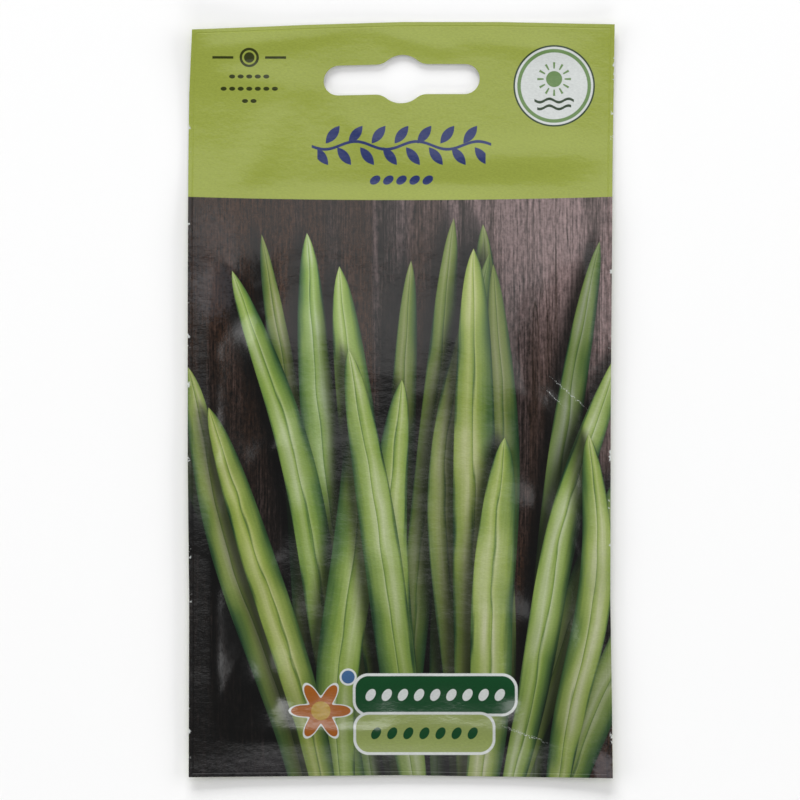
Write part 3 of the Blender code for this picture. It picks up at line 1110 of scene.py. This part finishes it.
back = {  # millimetres from the packet's middle
    "panel": (38.5, 55.5, 3.0),  # half sizes and corner radius
    "panelY": -16.5,
    "discY": 24.0,
    "discs": (-25.5, 0.0, 25.5),
    "discRadius": 8.3,
    "discRim": 0.7,
    "soil": -3.2,
    "sprout": 1.5,  # the first plant's height, and what each stage adds
    "growth": 2.1,
    "leafSize": (1.7, 0.8),
    "leafTurn": 32.0,
    "boxY": 8.0,
    "boxPitch": 6.0,
    "boxRowEnd": 36.0,
    "boxes": (2.5, 2.5, 0.5),
    "emptyBoxes": (2.1, 2.1, 0.4),
    "season": (-6.0, 12.0),  # middle and half length of the boxes that are filled
    "columns": (-18.5, 18.5),
    "rules": ((-1.0, 6), (-21.0, 5), (-38.0, 7)),  # middle of each block and how many rules
    "rulePitch": 2.3,
    "ruleHalf": 16.5,
    "plateY": 51.5,
    "plate": (20.0, 3.2, 3.0),
    "beads": (9, 3.6, 1.2, 58.0),
}


def sproutMarks(paint, x, y, stage):  # a round picture of a plant that grows with each stage
    radius, rim = back["discRadius"], back["discRim"]
    soil = (y - back["soil"] + 0.25 * paint.maths("SINE", x * 1.1)).fall(-0.1, 0.1)
    half = (back["sprout"] + back["growth"] * stage) / 2
    marks = abs(x - 0.2 * paint.maths("SINE", y)).fall(0.16, 0.30)
    marks = marks * abs(y - back["soil"] - half).fall(half, half + 0.1)
    for step in range(stage + 1):
        for side in (1, -1):
            leafUp = back["growth"] * (step + 0.4 * (side > 0)) - 2.4
            leafX, leafY = paint.turned(x * side, y - leafUp, back["leafTurn"])
            marks = marks.most(paint.leaf(leafX - back["leafSize"][0], leafY, *back["leafSize"]))
    return [
        ("headerGreen", paint.disc(x, y, radius + rim)),
        ("backPale", paint.disc(x, y, radius)),
        ("woodGrey", soil * paint.disc(x, y, radius - rim)),
        ("badgeGreen", marks),
    ]


def backPrint():
    material, paint = newPaint("backPrint")
    x, y = paint.place()
    x = -x  # the back is read from below
    covers = [("backPale", paint.pill(x, y - back["panelY"], *back["panel"]))]
    for stage, middleX in enumerate(back["discs"]):
        covers += sproutMarks(paint, x - middleX, y - back["discY"], stage)
    half = back["boxPitch"] / 2
    cell = paint.maths("WRAP", x + half, half, -half)
    inRow = abs(x).fall(back["boxRowEnd"] - 0.1, back["boxRowEnd"])
    covers.append(("badgeGreen", paint.pill(cell, y - back["boxY"], *back["boxes"]) * inRow))
    middleX, half = back["season"]
    empty = paint.pill(cell, y - back["boxY"], *back["emptyBoxes"]) * inRow
    covers.append(("backPale", empty * abs(x - middleX).rise(half - 0.1, half)))
    for middleX in back["columns"]:
        for top, count in back["rules"]:
            rules = ruledLines(paint, x - middleX, y - top, count, back["rulePitch"], back["ruleHalf"])
            covers.append(("backInk", rules))
    covers.append(("backPale", paint.pill(x, y - back["plateY"], *back["plate"])))
    covers.append(("badgeGreen", beadRow(paint, x, y - back["plateY"], *back["beads"])))

    colour = paint.layers(printed["headerGreen"], covers)
    normal = paint.bump(0.08 * paint.cloud(x, y, 0.10, 0.14, 3.0, 40.0))
    roughness = 0.20 + 0.08 * paint.cloud(x, y, 0.3, 0.3)
    finishPaint(paint, {"Base Color": colour, "Roughness": roughness, "Normal": normal, "IOR": 1.5})
    return material


inside = plainFilm("filmInside", ink(222, 222, 218), 0.35)
cutEdge = plainFilm("filmEdge", ink(226, 226, 220), 0.5)
punch = slotPunch()
flat = flatSheet("flatSheet", punch)
frontFinishes = (frontPrint(), inside, cutEdge)
backFinishes = ([backPrint()], inside, cutEdge)
frontFilm = bendSheet("frontFilm", flat, Relief(frontTop), Relief(frontBottom), frontFinishes, True)
backFilm = bendSheet("backFilm", flat, Relief(backTop), Relief(underside), backFinishes, False)
bpy.data.objects.remove(punch)
for film, node, slotName in ((frontFilm, "front_film", "front_print"), (backFilm, "back_film", "back_print")):
    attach(film, "root")
    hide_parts(node)
print("films bent and printed")

seedFinish = {
    "sides": 32,
    "rings": 24,
    "inside": (0.98, 0.93, 0.98),  # the seed's length, width and thickness beside the solid's
    "bend": 0.0008,
    "shoulder": 0.4,
    "scarLength": 0.0011,
    "scarWidth": 0.0005,
    "scarDepth": 0.00025,
    "brown": ink(122, 84, 52),
    "dark": ink(88, 56, 34),
    "pale": ink(206, 190, 160),
}


def seedCoat():
    material, paint = newPaint("seedCoat")
    mottle = paint.cloud(*paint.place(), 0.5, 0.5, 4.0).rise(0.35, 0.68)
    colour = paint.mix(mottle, seedFinish["brown"], seedFinish["dark"])
    scar = paint.node("Attribute", {"attribute_name": "scar"}, outlet="Fac")
    colour = paint.mix(scar, colour, seedFinish["pale"])
    finishPaint(paint, {"Base Color": colour, "Roughness": 0.38 + 0.2 * mottle})
    return material


def beanSeed(seed, number, coat):
    # a kidney-shaped seed on its side with a small pale scar in its hollow edge
    shape = bmesh.new()
    sides, rings = seedFinish["sides"], seedFinish["rings"]
    bmesh.ops.create_uvsphere(shape, u_segments=sides, v_segments=rings, radius=1.0)
    scarLayer = shape.verts.layers.float.new("scar")
    cosine = math.cos(seed["turn"])
    sine = math.sin(seed["turn"])
    longer, wider, thicker = seedFinish["inside"]
    middle = seed["middle"]
    for vert in shape.verts:
        across, thick, along = vert.co
        fuller = 1.0 + seedFinish["shoulder"] * along * along * (1.0 - along * along)
        onX = seed["halfLength"] * longer * along
        onY = seed["halfWidth"] * wider * across * fuller + seedFinish["bend"] * (0.5 - along * along)
        onZ = seed["halfThickness"] * thicker * thick
        scar = math.hypot(onX / seedFinish["scarLength"], onZ / seedFinish["scarWidth"])
        depth = max(0.0, 1.0 - scar) if across < 0 else 0.0
        vert[scarLayer] = min(1.0, depth * 3.0)
        onY += seedFinish["scarDepth"] * depth
        vert.co = (middle.x + onX * cosine - onY * sine, middle.y + onX * sine + onY * cosine, middle.z + onZ)
    bmesh.ops.recalc_face_normals(shape, faces=shape.faces)
    made = meshObject("beanSeed%02d" % number, shape)
    made.data.shade_smooth()
    made.data.materials.append(coat)
    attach(made, "root")
    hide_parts(seed["name"])


coat = seedCoat()
for number, seed in enumerate(seeds, 1):
    beanSeed(seed, number, coat)
print("seeds strewn:", len(seeds))

# The studio: a pale floor that curves up towards its rim, and soft lights

studio = {
    "flatRadius": 1.9,
    "rimRadius": 3.2,
    "rimHeight": 0.15,
    "rimSteps": 12,
    "sides": 64,
    "below": 0.00001,  # how far the floor lies under the packet
    "floorColour": (0.89, 0.89, 0.89, 1.0),
    "farColour": (0.55, 0.55, 0.55, 1.0),  # under the soft boxes, so that the floor is no brighter there
    "fading": (900.0, 2600.0),  # where it changes, in millimetres from the middle
    "world": 0.20,
    "sensor": 36.0,  # the camera's, in millimetres
    "distance": 1.6,
    "view": 0.1641,  # width of floor that the picture shows
    # each soft box: azimuth and elevation in degrees, distance, width, height and brightness
    "boxes": (
        ("headBox", 98.0, 24.0, 4.4, 3.2, 1.8, 11.0),
        ("footBox", -80.0, 15.0, 4.4, 3.9, 1.8, 5.0),
        ("leftBox", 176.0, 22.0, 4.4, 4.2, 1.9, 3.2),
        ("rightBox", 12.0, 22.0, 4.4, 4.2, 1.9, 3.6),
        ("overBox", 84.0, 73.0, 2.6, 1.5, 1.5, 1.2),
    ),
}


def paleFloor():
    shape = bmesh.new()
    points = [(0.0, 0.0)]
    for step in range(studio["rimSteps"] + 1):
        share = step / studio["rimSteps"]
        radius = studio["flatRadius"] + share * (studio["rimRadius"] - studio["flatRadius"])
        points.append((radius, studio["rimHeight"] * share**2))
    verts = [shape.verts.new((x, 0.0, z - studio["below"])) for x, z in points]
    edges = [shape.edges.new(pair) for pair in zip(verts, verts[1:])]
    around = {"cent": (0, 0, 0), "axis": (0, 0, 1), "angle": math.tau, "steps": studio["sides"]}
    bmesh.ops.spin(shape, geom=verts + edges, use_merge=True, **around)
    bmesh.ops.remove_doubles(shape, verts=shape.verts, dist=0.0001)
    bmesh.ops.recalc_face_normals(shape, faces=shape.faces)
    material, paint = newPaint("paleFloor")
    far = farOf(*paint.place()).rise(*studio["fading"])
    colour = paint.mix(far, studio["floorColour"], studio["farColour"])
    finishPaint(paint, {"Base Color": colour, "Roughness": 0.9, "Specular IOR Level": 0.1})
    floor = meshObject("paleFloor", shape)
    floor.data.shade_smooth()
    floor.data.materials.append(material)


def softbox(name, azimuth, elevation, distance, width, height, brightness):
    lamp = bpy.data.lights.new(name, "AREA")
    lamp.shape = "RECTANGLE"
    lamp.size = width
    lamp.size_y = height
    lamp.energy = brightness * math.pi * width * height
    box = linkedObject(name, lamp)
    around = math.radians(azimuth)
    up = math.radians(elevation)
    box.location = (
        distance * math.cos(up) * math.cos(around),
        distance * math.cos(up) * math.sin(around),
        distance * math.sin(up),
    )
    box.rotation_euler = (-box.location).to_track_quat("-Z", "Y").to_euler()
    box.visible_camera = False


paleFloor()
for box in studio["boxes"]:
    softbox(*box)

world = bpy.data.worlds.new("studioAir")
world.use_nodes = True
world.node_tree.nodes["Background"].inputs["Color"].default_value = (1.0, 1.0, 1.0, 1.0)
world.node_tree.nodes["Background"].inputs["Strength"].default_value = studio["world"]
bpy.context.scene.world = world
bpy.context.scene.view_settings.view_transform = "Standard"

cameraData = bpy.data.cameras.new("camera")
cameraData.sensor_width = studio["sensor"]
cameraData.lens = studio["sensor"] * studio["distance"] / studio["view"]
camera = linkedObject("camera", cameraData)
camera.location = (0.0, 0.0, studio["distance"])
bpy.context.scene.camera = camera
print("studio lit")
